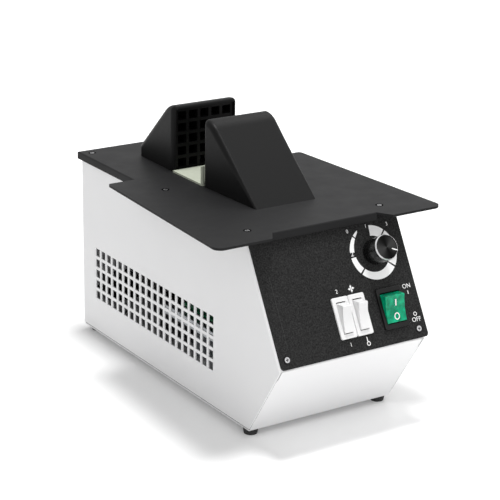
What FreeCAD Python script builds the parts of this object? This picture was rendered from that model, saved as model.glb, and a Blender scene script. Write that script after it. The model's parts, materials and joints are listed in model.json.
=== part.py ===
import FreeCAD, Part
import math
import os
from FreeCAD import Vector

os.makedirs("parts", exist_ok=True)

# Frame: +X to the right, +Y to the rear, +Z up, millimetres.
# Origin: middle of the footprint, on the surface that the feet stand on.

# Clearances
fit_gap = 0.2
slip_gap = 0.3
run_gap = 0.05
screw_gap = 0.25

# Housing and base pan
housing_width = 141.0
sheet = 1.0
bend_radius = 2.0
floor_length = 274.3
nose_reach = 43.7
nose_height = 71.2
foot_height = 5.0
skirt_gap = 2.7
lip_width = 11.5
seam_relief = 9.0
pan_lip = 11.0
pan_front_flange = 13.0

# Top plate
plate_height = 168.4
plate_sheet = 2.0
plate_overhang = 2.4
flange_drop = 6.4
wing_rear_half = 97.6
wing_front_half = 108.4
wing_rear_back = 97.8
wing_front_back = 285.8
bend_back = 274.2
front_flange_half = 50.5
relief_reach = 7.5
wing_front_radius = 7.0
wing_rear_radius = 3.0

# Side vents: square holes in a regular grid
vent_size = 7.2
vent_pitch = 10.0
vent_columns = 20
vent_rows = 5
vent_first_back = 28.3
vent_top = 81.9

# Control panel
panel_width = 142.5
panel_shift = 2.25
panel_sheet = 2.0
panel_corner = 3.0
panel_lean = 29.2
panel_rise = 0.9
panel_lip = 16.0
panel_bend = 6.0
panel_screw_xs = (-62.9, 65.4)
panel_screw_up = 7.4
panel_screw_head_radius = 2.3
panel_screw_ring = 0.6
panel_screw_sink = 0.9

# Hoods
hood_open_half = 32.4
front_hood_foot_half = 29.6
rear_hood_foot_half = 31.0
hood_height = 57.5
hood_wall = 3.0
hood_crown_radius = 22.0
hood_rim_radius = 3.0
hood_side_radius = 5.0
hood_foot_radius = 1.5
front_hood_back = 142.3
front_hood_length = 77.3
front_hood_slope = 40.4
rear_hood_back = 95.3
rear_hood_length = 61.0
rear_hood_step = 9.8
rear_hood_top = 11.0
boss_radius = 3.5
boss_height = 9.0
boss_overlap = 1.2
boss_foot_inset = 19.0
boss_core = 3.0

# Grilles in the open faces of the hoods
grille_recess = 2.5
grille_depth = 11.0
grille_rib = 2.8
grille_columns = 5
grille_rows = 5

# Heat board between the hoods
board_sheet = 1.6
board_half = 33.0
board_lip = 17.0
board_lip_width = 3.0
board_cross_height = 4.0

# Temperature knob and potentiometer, placed on the panel from its lower edge
knob_x = 42.0
knob_up = 75.2
knob_radius = 10.5
knob_height = 19.0
knob_lift = 0.8
knob_cap_height = 1.2
cap_bevel = 0.5
cap_ring = 0.6
cap_dish = 0.3
pointer_start = 4.5
pointer_end = 9.4
pointer_width = 0.9
grub_rise = 9.0
shaft_cover = 5.0
pot_radius = 12.0
pot_depth = 11.0
pot_bush_radius = 4.8
pot_bush_height = 5.5
pot_nut_radius = 7.0
pot_nut_height = 2.2
pot_shaft_radius = 3.0
pot_floor = 2.0
pot_rest_angle = -24.0

# Rocker switches
rocker_tilt = 16.5
rocker_tip_half = 10.9
rocker_base_half = 12.0
rocker_base_drop = 2.0
rocker_root_half = 9.0
rocker_root_drop = 6.0
rocker_sag = 1.2
rocker_pivot_depth = 0.5
rocker_pin_radius = 1.3
rocker_pin_reach = 1.0
switch_cavity_half = 12.9
switch_depth = 22.0
switch_wall = 1.4
switch_bezel_lap = 1.6
bezel_corner = 1.5
bezel_edge = 0.6
power_x = 45.2
power_up = 28.6
power_bezel_width = 24.4
power_bezel_length = 33.2
power_bezel_height = 2.2
power_rocker_width = 18.7
power_rocker_rise = 6.6
pair_x = 5.9
pair_up = 29.2
pair_pitch = 15.8
pair_bezel_width = 15.4
pair_bezel_length = 33.6
pair_bezel_height = 1.5
pair_rocker_width = 8.3
pair_rocker_rise = 7.1
tag_width = 4.8
tag_length = 8.0
tag_sheet = 0.8
tag_pitch = 8.0

# Air duct
duct_half = 20.0
duct_sheet = 0.8
duct_flange = 10.0
duct_reach = 62.5
duct_rear_back = 19.4
duct_height = 26.4
neck_front_back = 66.0
neck_length = 28.0
neck_overlap = 6.0

# Blower and motor
scroll_center_back = 71.9
scroll_center_height = 58.0
scroll_top_radius = 38.0
scroll_front_radius = 42.0
scroll_low_radius = 46.0
scroll_wall = 1.5
scroll_inlet_radius = 26.0
scroll_foot_width = 10.0
scroll_foot_spread = 14.0
wheel_radius = 32.0
wheel_blade_depth = 7.0
wheel_blades = 28
wheel_blade_sheet = 0.8
wheel_sheet = 1.5
wheel_hub_radius = 7.0
wheel_hub_length = 16.0
wheel_side_gap = 2.5
motor_radius = 28.0
motor_length = 36.0
motor_wall = 2.0
motor_bush_radius = 6.0
motor_bush_length = 6.0
motor_shaft_radius = 3.0
motor_core_inset = 8.0
rotor_radius = 16.0
rotor_air_gap = 0.6
bracket_sheet = 2.0
bracket_half = 30.0
bracket_foot = 18.0
bracket_screw_inset = 8.0
bracket_screw_spread = 22.0
motor_screw_spread = 12.0

# Heater
heater_sheet = 1.0
heater_height = 20.0
heater_bars = 6
heater_bar_radius = 2.2
heater_bar_inset = 8.0
heater_bar_stagger = 4.0
cutout_radius = 8.0
cutout_height = 7.0
cutout_rise = 18.0

# Shelf with the electronics
shelf_height = 55.0
shelf_half = 58.0
shelf_front_back = 202.0
shelf_rear_back = 120.5
shelf_lip = 7.0
shelf_leg_half = 24.0
shelf_foot = 10.0
circuit_board_sheet = 1.6
circuit_board_left = -44.0
circuit_board_right = 22.0
circuit_board_length = 66.0
circuit_board_inset = 6.0
standoff_height = 6.0
standoff_radius = 2.5
standoff_inset = 4.0
relay_width = 18.0
relay_length = 12.0
relay_height = 15.0
relay_pitch = 16.0
capacitor_width = 26.0
capacitor_length = 9.0
capacitor_height = 18.0
choke_radius = 9.0
choke_bore = 4.0
choke_height = 12.0
sink_width = 28.0
sink_height = 24.0
sink_base = 2.0
sink_fin_depth = 8.0
sink_fin_sheet = 1.2
sink_fins = 6
terminal_x = 40.0
terminal_width = 16.0
terminal_height = 14.0
terminal_pitch = 10.0
terminal_count = 5
terminal_inset = 10.0
terminal_well_radius = 3.0
terminal_well_depth = 6.0
terminal_screw_radius = 2.4
terminal_screw_height = 3.0

# Power inlet in the back wall
inlet_x = -38.0
inlet_height = 40.0
inlet_flange_width = 50.0
inlet_flange_height = 24.0
inlet_flange_depth = 2.4
inlet_body_width = 27.0
inlet_body_height = 19.5
inlet_body_depth = 24.0
inlet_wall = 1.8
inlet_recess = 17.0
inlet_chamfer = 4.0
inlet_screw_spacing = 40.0
inlet_pin_places = ((-7.0, -2.0), (7.0, -2.0), (0.0, 2.0))
inlet_pin_half_width = 1.0
inlet_pin_half_height = 2.0
inlet_pin_recess = 3.0
inlet_pin_tail = 8.0

# Fasteners and feet
screw_radius = 1.5
screw_head_radius = 2.8
screw_head_height = 1.8
screw_grip = 5.0
plate_screw_x = 64.0
plate_screw_backs = (8.4, 135.4, 259.5)
plate_screw_length = 8.2
foot_radius = 6.5
foot_front_side_inset = 7.2
foot_front_inset = 6.5
foot_rear_side_inset = 11.0
foot_back_inset = 7.0
foot_bore_depth = 2.4
foot_screw_grip = 2.0
pan_screw_height = 12.0
pan_screw_xs = (-60.0, 0.0, 60.0)

# Places worked out from the sizes above
lean = math.radians(panel_lean)
panel_out = Vector(0, -math.cos(lean), math.sin(lean))
panel_up = Vector(0, math.sin(lean), math.cos(lean))
panel_front = panel_sheet * math.cos(lean) - panel_rise * math.sin(lean)
total_depth = floor_length + nose_reach + panel_front + plate_overhang
back_y = total_depth / 2 - plate_overhang
floor_front_y = back_y - floor_length
nose_y = floor_front_y - nose_reach
side_half = housing_width / 2
inner_half = side_half - sheet
pan_top = foot_height + sheet
plate_under = plate_height - plate_sheet
side_bottom = foot_height + skirt_gap
nose = Vector(0, nose_y, nose_height)
panel_origin = nose + panel_out * panel_sheet + panel_up * panel_rise
flange_half = side_half + plate_overhang
lip_edge = inner_half - lip_width
duct_low = plate_under - duct_height
neck_bottom = duct_low - neck_length
duct_front_back = front_hood_back + duct_reach
inlet_head_seat = back_y + inlet_flange_depth - screw_head_height


def from_back(distance):
    return back_y - distance


def box(x0, y0, z0, x1, y1, z1):
    return Part.makeBox(x1 - x0, y1 - y0, z1 - z0, Vector(x0, y0, z0))


def rod(start, direction, radius, length):
    return Part.makeCylinder(radius, length, Vector(*start), Vector(*direction))


def prism_x(points, x0, x1):
    corners = [Vector(x0, y, z) for y, z in points]
    face = Part.Face(Part.makePolygon(corners + corners[:1]))
    return face.extrude(Vector(x1 - x0, 0, 0))


def prism_z(points, z0, z1):
    corners = [Vector(x, y, z0) for x, y in points]
    face = Part.Face(Part.makePolygon(corners + corners[:1]))
    return face.extrude(Vector(0, 0, z1 - z0))


def fuse(shapes):
    return shapes[0].multiFuse(shapes[1:]).removeSplitter() if len(shapes) > 1 else shapes[0]


def cut(shape, tools):
    return shape.cut(Part.makeCompound(tools))


def group(shapes):
    return Part.makeCompound(shapes)


def mirrored(shape):
    return shape.mirror(Vector(0, 0, 0), Vector(1, 0, 0))


def edges_where(shape, test):
    return [edge for edge in shape.Edges if test(edge)]


def is_along(edge, direction):
    if len(edge.Vertexes) != 2 or edge.Curve.TypeId != "Part::GeomLine":
        return False
    span = edge.Vertexes[1].Point - edge.Vertexes[0].Point
    return abs(abs(span.normalize().dot(direction)) - 1) < 1e-6


def on_panel(shape):
    placed = shape.copy()
    turn = FreeCAD.Rotation(Vector(1, 0, 0), 90 - panel_lean)
    placed.Placement = FreeCAD.Placement(panel_origin, turn).multiply(placed.Placement)
    return placed


def apron_y(z):
    rise = (z - foot_height) / (nose_height - foot_height)
    return floor_front_y - nose_reach * rise


def slope_y(z):
    return nose_y + (z - nose_height) * math.tan(lean)


def screw(tip, direction, length, head_radius=screw_head_radius):
    axis = Vector(*direction)
    shank = rod(tip, direction, screw_radius, length)
    seat = Vector(*tip) + axis * length
    head = Part.makeCylinder(head_radius, screw_head_height, seat, axis)
    slot_span = head_radius * 0.6
    slot_depth = screw_head_height * 0.5
    slot = Part.makeBox(2 * slot_span, 0.7, slot_depth, Vector(-slot_span, -0.35, 0))
    cross = slot.fuse(slot.rotated(Vector(0, 0, 0), Vector(0, 0, 1), 90))
    turn = FreeCAD.Rotation(Vector(0, 0, 1), axis)
    cross.Placement = FreeCAD.Placement(seat + axis * (screw_head_height - slot_depth), turn)
    return shank.fuse(head).cut(cross)


# Housing

def side_profile(inset, bottom, top):
    slope_shift = inset / math.cos(lean)
    apron_angle = math.atan2(nose_reach, nose_height - foot_height)
    apron_shift = inset / math.cos(apron_angle)
    apron_rate = math.tan(apron_angle)
    nose_z = nose_height - (slope_shift - apron_shift) / (math.tan(lean) + apron_rate)
    return [
        (back_y - inset, bottom),
        (apron_y(bottom) + apron_shift, bottom),
        (apron_y(nose_z) + apron_shift, nose_z),
        (slope_y(top) + slope_shift, top),
        (back_y - inset, top),
    ]


def vent_holes():
    holes = []
    for column in range(vent_columns):
        for row in range(vent_rows):
            y = from_back(vent_first_back + column * vent_pitch)
            z = vent_top - row * vent_pitch
            half = vent_size / 2
            holes.append(box(-side_half - 1, y - half, z - half, -inner_half + 1, y + half, z + half))
    return holes


def rounded_block(inset, radius):
    block = prism_x(side_profile(inset, side_bottom - inset, plate_under), -side_half + inset,
                    side_half - inset)
    back_edges = edges_where(block, lambda e: is_along(e, Vector(0, 0, 1))
                             and abs(e.Vertexes[0].Y - back_y + inset) < 0.01)
    slope_edges = edges_where(block, lambda e: is_along(e, panel_up))
    return block.makeFillet(radius, back_edges + slope_edges)


def nose_corner(inset):
    return side_profile(inset, foot_height, plate_under)[2]


def slope_window():
    crest = Vector(0, slope_y(plate_under), plate_under) + panel_up * 3
    low = nose - panel_up * 3
    into = panel_out * 4
    corners = [low - into, crest - into, crest + into, low + into]
    return prism_x([(corner.y, corner.z) for corner in corners], -lip_edge, lip_edge)


def apron_window():
    outer_y, outer_z = nose_corner(0)
    inner_y, inner_z = nose_corner(sheet)
    ahead = nose_y - 5
    return prism_x([(ahead, 0), (floor_front_y + 10, 0), (inner_y, inner_z + fit_gap),
                    (outer_y, outer_z + fit_gap), (ahead, outer_z + fit_gap)], -inner_half, inner_half)


def housing_shell():
    shell = rounded_block(0, bend_radius).cut(rounded_block(sheet, bend_radius - sheet))
    behind_panel = slope_y(plate_under) + 2 * sheet
    top_low = plate_under - 2 * sheet
    top_window = box(-lip_edge, behind_panel, top_low, lip_edge, back_y - lip_width, plate_under + 1)
    front_top = box(-lip_edge, nose_y, top_low, lip_edge, behind_panel + 1, plate_under + 1)
    floor_window = box(-side_half - 1, nose_y - 1, 0, side_half + 1, back_y + 1, side_bottom)
    inner_floor = box(-inner_half, nose_y, 0, inner_half, back_y - sheet, side_bottom + 2 * sheet)
    windows = [top_window, front_top, floor_window, inner_floor, apron_window(), slope_window()]
    holes = vent_holes()
    holes += [mirrored(hole) for hole in holes]
    holes += [rod((x * plate_screw_x, from_back(back), plate_under - 5), (0, 0, 1), screw_radius + fit_gap, 10)
              for x in (-1, 1) for back in plate_screw_backs]
    holes += [panel_screw_hole(x) for x in panel_screw_xs]
    holes.append(inlet_opening())
    holes += [rod((x, back_y - sheet - 2, pan_screw_height), (0, 1, 0), screw_radius + fit_gap, 6)
              for x in pan_screw_xs]
    return cut(shell, windows + holes)


def panel_screw_hole(x):
    start = panel_origin + panel_up * panel_screw_up - panel_out * 12
    return Part.makeCylinder(screw_radius + fit_gap, 24, Vector(x, start.y, start.z), panel_out)


def inlet_opening():
    half_width = inlet_body_width / 2 + fit_gap
    half_height = inlet_body_height / 2 + fit_gap
    slot = box(inlet_x - half_width, back_y - 6, inlet_height - half_height,
               inlet_x + half_width, back_y + 2, inlet_height + half_height)
    screws = [rod((inlet_x + side * inlet_screw_spacing / 2, back_y - 6, inlet_height), (0, 1, 0),
                  screw_radius + fit_gap, 8) for side in (-1, 1)]
    return fuse([slot] + screws)


def base_pan():
    half = inner_half - fit_gap
    rear = back_y - sheet - fit_gap
    floor = box(-half, floor_front_y, foot_height, half, rear, pan_top)
    lip_top = pan_top + pan_lip
    side_lip = box(-half, floor_front_y + 14, foot_height, -half + sheet, rear, lip_top)
    rear_lip = box(-half, rear - sheet, foot_height, half, rear, lip_top)
    outer = side_profile(0, foot_height, plate_under)
    inner = side_profile(sheet, foot_height, plate_under)
    apron = prism_x([outer[1], outer[2], inner[2], inner[1]], -half, half)
    crest = nose + panel_up * pan_front_flange
    flange = [nose, crest, crest - panel_out * sheet, nose - panel_out * sheet * 1.1]
    flange_half_width = lip_edge - fit_gap
    top_flange = prism_x([(p.y, p.z) for p in flange], -flange_half_width, flange_half_width)
    relief = box(-half - 1, nose_y - 5, nose_height - seam_relief, -half + 1, nose_y + 12, nose_height + 1)
    pan = fuse([floor, side_lip, mirrored(side_lip), rear_lip, apron, top_flange])
    holes = [rod((x, y, 0), (0, 0, 1), screw_radius + fit_gap, 12) for x, y in foot_places()]
    holes += [rod((x, rear - sheet - 2, pan_screw_height), (0, 1, 0), screw_radius, 6) for x in pan_screw_xs]
    holes += [rod((x, y, 0), (0, 0, 1), screw_radius, 12) for x, y in bracket_screw_places()]
    holes += [relief, mirrored(relief)]
    return cut(pan, holes)


def foot_places():
    front_x = side_half - foot_front_side_inset
    rear_x = side_half - foot_rear_side_inset
    front = floor_front_y + foot_front_inset
    rear = back_y - foot_back_inset
    return [(-front_x, front), (front_x, front), (-rear_x, rear), (rear_x, rear)]


def foot(x, y):
    body = Part.makeCone(foot_radius - 1, foot_radius, foot_height, Vector(x, y, 0))
    bore = rod((x, y, -1), (0, 0, 1), screw_radius + fit_gap, foot_height + 2)
    counterbore = rod((x, y, -1), (0, 0, 1), screw_head_radius + fit_gap, foot_bore_depth + 1)
    return cut(body, [bore, counterbore])


def foot_screws():
    length = foot_height - foot_bore_depth + sheet + foot_screw_grip
    return group([screw((x, y, foot_bore_depth + length), (0, 0, -1), length) for x, y in foot_places()])


# Top plate

def plate_outline():
    rear = back_y + plate_overhang
    bend = from_back(bend_back)
    front = from_back(wing_front_back)
    wing_rear = from_back(wing_rear_back)
    half_outline = [
        (front_flange_half, bend),
        (front_flange_half + relief_reach, front),
        (wing_front_half, front),
        (wing_rear_half, wing_rear),
        (flange_half, wing_rear),
        (flange_half, rear),
    ]
    left = [(-x, y) for x, y in reversed(half_outline)]
    return half_outline + left


def wing_corner(shape, x, y, radius):
    picked = edges_where(shape, lambda e: is_along(e, Vector(0, 0, 1))
                         and abs(abs(e.Vertexes[0].X) - x) < 0.01 and abs(e.Vertexes[0].Y - y) < 0.01)
    return shape.makeFillet(radius, picked)


def top_plate():
    sheet_top = prism_z(plate_outline(), plate_under, plate_height)
    sheet_top = wing_corner(sheet_top, wing_front_half, from_back(wing_front_back), wing_front_radius)
    sheet_top = wing_corner(sheet_top, wing_rear_half, from_back(wing_rear_back), wing_rear_radius)
    low = plate_height - flange_drop
    rear = back_y + plate_overhang
    bend = from_back(bend_back)
    side_flange = box(-flange_half, from_back(wing_rear_back) + 2, low,
                      -flange_half + plate_sheet, rear, plate_height)
    rear_flange = box(-flange_half, rear - plate_sheet, low, flange_half, rear, plate_height)
    front_flange = box(-front_flange_half, bend, low, front_flange_half, bend + plate_sheet, plate_height)
    plate = fuse([sheet_top, side_flange, mirrored(side_flange), rear_flange, front_flange])
    bends = edges_where(plate, lambda e: e.BoundBox.ZMin > plate_height - 0.01 and (
        (is_along(e, Vector(1, 0, 0)) and (abs(e.Vertexes[0].Y - bend) < 0.01 or abs(e.Vertexes[0].Y - rear) < 0.01))
        or (is_along(e, Vector(0, 1, 0)) and abs(abs(e.Vertexes[0].X) - flange_half) < 0.01)))
    plate = plate.makeFillet(plate_sheet * 0.7, bends)
    holes = [rod((side * plate_screw_x, from_back(back), plate_under - 1), (0, 0, 1), screw_radius + fit_gap, 5)
             for side in (-1, 1) for back in plate_screw_backs]
    holes += [rod((side * plate_screw_x, from_back(back), plate_height - screw_head_height), (0, 0, 1),
                  screw_head_radius + screw_gap, 5) for side in (-1, 1) for back in plate_screw_backs]
    holes += [air_window(*window) for window in air_windows()]
    holes += [rod((x, y, plate_under - 1), (0, 0, 1), screw_radius + fit_gap, 5) for x, y in boss_places()]
    return cut(plate, holes)


def air_windows():
    front_face = from_back(front_hood_back)
    rear_face = from_back(rear_hood_back)
    room = grille_recess + grille_depth + fit_gap
    return [
        (from_back(duct_front_back) + duct_flange / 2, front_face - room),
        (rear_face + room, rear_face + rear_hood_length - hood_wall - 2),
    ]


def air_window(y0, y1):
    half = duct_half - 1
    return box(-half, y0, plate_under - 5, half, y1, plate_height + 5)


def plate_screws():
    screws = []
    for back in plate_screw_backs:
        for side in (-1, 1):
            tip_height = plate_height - screw_head_height - plate_screw_length
            tip = (side * plate_screw_x, from_back(back), tip_height)
            screws.append(screw(tip, (0, 0, 1), plate_screw_length))
    return group(screws)


# Control panel

def control_panel():
    half = panel_width / 2
    crest_z = plate_under - fit_gap
    length = (crest_z - panel_origin.z) / math.cos(lean)
    flat = box(-half, 0, -panel_sheet, half, length, 0)
    corners = edges_where(flat, lambda e: is_along(e, Vector(0, 0, 1)) and e.Vertexes[0].Y < 1)
    flat = flat.makeFillet(panel_corner, corners)
    flat.translate(Vector(panel_shift, 0, 0))
    cuts = [rod((x, panel_screw_up, -5), (0, 0, 1), screw_radius + fit_gap, 10) for x in panel_screw_xs]
    cuts += [rod((x, panel_screw_up, -panel_screw_sink), (0, 0, 1),
                 panel_screw_head_radius + panel_screw_ring, 5) for x in panel_screw_xs]
    cuts.append(rod((knob_x, knob_up, -5), (0, 0, 1), pot_bush_radius + fit_gap, 10))
    cuts.append(switch_cutout(power_x, power_up, power_rocker_width, power_bezel_length))
    cuts += [switch_cutout(x, pair_up, pair_rocker_width, pair_bezel_length) for x in pair_places()]
    flat = on_panel(cut(flat, cuts))
    crest = panel_origin + panel_up * length
    low = crest - panel_up * panel_bend
    low_back = low - panel_out * panel_sheet
    lip_low = crest_z - panel_sheet
    lip_half = lip_edge - fit_gap
    lip = prism_x([(crest.y, crest_z), (crest.y + panel_lip, crest_z), (crest.y + panel_lip, lip_low),
                   (slope_y(lip_low), lip_low), (low_back.y, low_back.z), (low.y, low.z)], -lip_half, lip_half)
    return fuse([flat, lip])


def pair_places():
    return (pair_x - pair_pitch / 2, pair_x + pair_pitch / 2)


def switch_body_half(rocker_width):
    return rocker_width / 2 + slip_gap + switch_wall


def switch_cutout(x, up, rocker_width, bezel_length):
    half_width = switch_body_half(rocker_width) + fit_gap
    half_length = bezel_length / 2 - switch_bezel_lap + fit_gap
    return box(x - half_width, up - half_length, -5, x + half_width, up + half_length, 5)


def panel_screws():
    length = panel_sheet - panel_screw_sink + sheet + 3
    tip = -panel_screw_sink - length
    return group([on_panel(screw((x, panel_screw_up, tip), (0, 0, 1), length, panel_screw_head_radius))
                  for x in panel_screw_xs])


# Hoods

def hood_points(length, step, inset):
    slope = math.radians(front_hood_slope if step == 0 else rear_hood_slope())
    drop = inset / math.cos(slope)
    top = hood_height - inset
    run = (hood_height - top - drop) / math.tan(slope)
    if step == 0:
        crown = length - hood_height / math.tan(slope)
        foot_run = length - drop / math.tan(slope)
        return [(0, 0), (0, top), (crown + run, top), (foot_run, 0)]
    back = length - inset
    back_height = step - drop + inset * math.tan(slope)
    return [(0, 0), (0, top), (rear_hood_top + run, top), (back, back_height), (back, 0)]


def rear_hood_slope():
    return math.degrees(math.atan2(hood_height - rear_hood_step, rear_hood_length - rear_hood_top))


def hood_half(length, step, depth):
    foot_half = front_hood_foot_half if step == 0 else rear_hood_foot_half
    return hood_open_half + (foot_half - hood_open_half) * depth / length


def hood_block(length, step, inset):
    points = [(-d, h) for d, h in hood_points(length, step, inset)]
    open_half = hood_half(length, step, 0) - inset
    foot_half = hood_half(length, step, length) - inset
    block = prism_x(points, -open_half, open_half)
    crown_y = points[2][0]
    crown = edges_where(block, lambda e: is_along(e, Vector(1, 0, 0))
                        and abs(e.Vertexes[0].Y - crown_y) < 0.01 and e.Vertexes[0].Z > 10)
    block = block.makeFillet(hood_crown_radius - inset, crown)
    plan = prism_z([(-open_half, 0), (open_half, 0), (foot_half, -length), (-foot_half, -length)],
                   -1, hood_height + 1)
    block = block.common(plan)
    return round_hood(block, length, step) if inset == 0 else block


def round_hood(block, length, step):
    rim = edges_where(block, lambda e: is_along(e, Vector(1, 0, 0))
                      and abs(e.Vertexes[0].Y) < 0.01 and e.Vertexes[0].Z > 10)
    block = block.makeFillet(hood_rim_radius, rim)

    def beside(vertex):
        return abs(abs(vertex.X) - hood_half(length, step, -vertex.Y)) < 0.01

    def is_side(edge):
        return (all(beside(v) for v in edge.Vertexes) and edge.Vertexes[0].X * edge.Vertexes[-1].X > 0
                and edge.BoundBox.ZMax > 0.5 and edge.BoundBox.YMax < -0.5)

    if step:
        return block.makeFillet(hood_side_radius, edges_where(block, is_side))
    for side in (-1, 1):
        slope = edges_where(block, lambda e: is_side(e) and e.BoundBox.ZMin < 0.01 and e.Vertexes[0].X * side > 0)
        falls = slope[0].Vertexes[0].Z > slope[0].Vertexes[-1].Z
        radii = (hood_side_radius, hood_foot_radius) if falls else (hood_foot_radius, hood_side_radius)
        block = block.makeFillet(*radii, slope)
    return block


def hood_shell(length, step):
    outer = hood_block(length, step, 0)
    inner = hood_block(length, step, hood_wall)
    mouth_half = hood_open_half - hood_wall
    mouth = box(-mouth_half, -1, -5, mouth_half, 5, hood_height - hood_wall)
    shell = cut(outer, [inner, mouth])
    skin = hood_block(length, step, hood_wall / 3)
    spots = hood_boss_spots(length, step)
    bosses = [rod((x, -depth, 0), (0, 0, 1), boss_radius, boss_height).common(skin) for x, depth in spots]
    bores = [rod((x, -depth, -1), (0, 0, 1), screw_radius, boss_height) for x, depth in spots]
    return cut(fuse([shell] + bosses), bores)


def hood_boss_spots(length, step):
    spots = []
    for depth in (grille_recess + grille_depth + boss_radius + 2, length - boss_foot_inset):
        x = hood_half(length, step, depth) - hood_wall - boss_radius + boss_overlap
        spots += [(-x, depth), (x, depth)]
    return spots


def facing_front(shape, back):
    placed = shape.mirror(Vector(0, 0, 0), Vector(0, 1, 0))
    placed.translate(Vector(0, from_back(back), plate_height))
    return placed


def facing_rear(shape, back):
    return shape.translated(Vector(0, from_back(back), plate_height))


def boss_places():
    front = [(x, from_back(front_hood_back) - depth) for x, depth in hood_boss_spots(front_hood_length, 0)]
    rear = [(x, from_back(rear_hood_back) + depth)
            for x, depth in hood_boss_spots(rear_hood_length, rear_hood_step)]
    return front + rear


def hood_screws():
    length = plate_sheet + 2 * duct_sheet + boss_height - boss_core
    tip_height = plate_height + boss_height - boss_core
    return group([screw((x, y, tip_height), (0, 0, -1), length) for x, y in boss_places()])


def grille(length, step):
    half = hood_open_half - hood_wall - fit_gap
    front = -grille_recess
    rear = front - grille_depth
    column_pitch = (2 * half - grille_rib) / grille_columns
    row_pitch = (hood_height - hood_wall - grille_rib) / grille_rows
    bars = []
    for column in range(grille_columns + 1):
        x = -half + column * column_pitch
        bars.append(box(x, rear, 0, x + grille_rib, front, hood_height))
    for row in range(grille_rows + 1):
        z = row * row_pitch
        bars.append(box(-half, rear, z, half, front, z + grille_rib))
    lattice = fuse(bars)
    return lattice.common(hood_block(length, step, hood_wall + fit_gap))


# Heat board

def heat_board():
    front = from_back(front_hood_back) + fit_gap
    rear = from_back(rear_hood_back) - fit_gap
    floor = box(-board_half, front, plate_height, board_half, rear, plate_height + board_sheet)
    lip = box(-board_half, front, plate_height, -board_half + board_lip_width, front + board_sheet,
              plate_height + board_lip)
    cross = box(-board_half, front, plate_height, board_half, front + board_sheet,
                plate_height + board_cross_height)
    return fuse([floor, lip, mirrored(lip), cross])


# Knob and potentiometer

def knob():
    low = knob_lift
    top = low + knob_height - knob_cap_height
    body = rod((0, 0, low), (0, 0, 1), knob_radius, top - low)
    rim = edges_where(body, lambda e: e.BoundBox.ZMax < low + 0.01)
    body = body.makeChamfer(0.5, rim)
    pocket = rod((0, 0, low - 1), (0, 0, 1), pot_nut_radius + 1, pot_nut_height + 2.4)
    bush_room = rod((0, 0, low - 1), (0, 0, 1), pot_bush_radius + 0.6, pot_bush_height + 1.2)
    bore = rod((0, 0, low), (0, 0, 1), pot_shaft_radius, knob_height - shaft_cover)
    grub = rod((0, 0, low + grub_rise), pointer_direction(), screw_radius, knob_radius + 2)
    shape = cut(body, [pocket, bush_room, bore, grub])
    shape.translate(Vector(knob_x, knob_up, 0))
    return on_panel(shape)


def pointer_direction():
    angle = math.radians(pot_rest_angle)
    return (math.cos(angle), math.sin(angle), 0)


def knob_cap():
    low = knob_lift + knob_height - knob_cap_height
    top = low + knob_cap_height
    disc = Part.makeCone(knob_radius, knob_radius - cap_bevel, knob_cap_height, Vector(0, 0, low))
    dish = rod((0, 0, top - cap_dish), (0, 0, 1), knob_radius - cap_bevel - cap_ring, 1)
    pointer = Part.makeBox(pointer_end - pointer_start, pointer_width, 1,
                           Vector(pointer_start, -pointer_width / 2, top - 2 * cap_dish))
    pointer.rotate(Vector(0, 0, 0), Vector(0, 0, 1), pot_rest_angle)
    shape = cut(disc, [dish, pointer])
    shape.translate(Vector(knob_x, knob_up, 0))
    return on_panel(shape)


def grub_screw():
    x, y, z = pointer_direction()
    start = (pot_shaft_radius * x, pot_shaft_radius * y, knob_lift + grub_rise)
    shape = rod(start, (x, y, z), screw_radius, screw_grip)
    shape.translate(Vector(knob_x, knob_up, 0))
    return on_panel(shape)


def potentiometer_body():
    can = rod((0, 0, -panel_sheet - pot_depth), (0, 0, 1), pot_radius, pot_depth)
    bush = rod((0, 0, -panel_sheet - 1), (0, 0, 1), pot_bush_radius, panel_sheet + 1 + pot_bush_height)
    tags = [box(x - 1.2, -pot_radius - 6, -panel_sheet - 4, x + 1.2, -pot_radius + 3, -panel_sheet - 3)
            for x in (-5, 0, 5)]
    bore = rod((0, 0, -panel_sheet - pot_depth + pot_floor), (0, 0, 1), pot_shaft_radius + run_gap, 40)
    shape = cut(fuse([can, bush] + tags), [bore])
    shape.translate(Vector(knob_x, knob_up, 0))
    return on_panel(shape)


def potentiometer_shaft():
    start = -panel_sheet - pot_depth + pot_floor + run_gap
    end = knob_lift + knob_height - shaft_cover
    shape = rod((knob_x, knob_up, start), (0, 0, 1), pot_shaft_radius, end - start)
    return on_panel(shape)


def potentiometer_nut():
    corners = [Vector(pot_nut_radius * math.cos(math.radians(60 * k)),
                      pot_nut_radius * math.sin(math.radians(60 * k)), 0) for k in range(7)]
    nut = Part.Face(Part.makePolygon(corners)).extrude(Vector(0, 0, pot_nut_height))
    nut = cut(nut, [rod((0, 0, -1), (0, 0, 1), pot_bush_radius, 10)])
    nut.translate(Vector(knob_x, knob_up, 0))
    return on_panel(nut)


# Rocker switches

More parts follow.
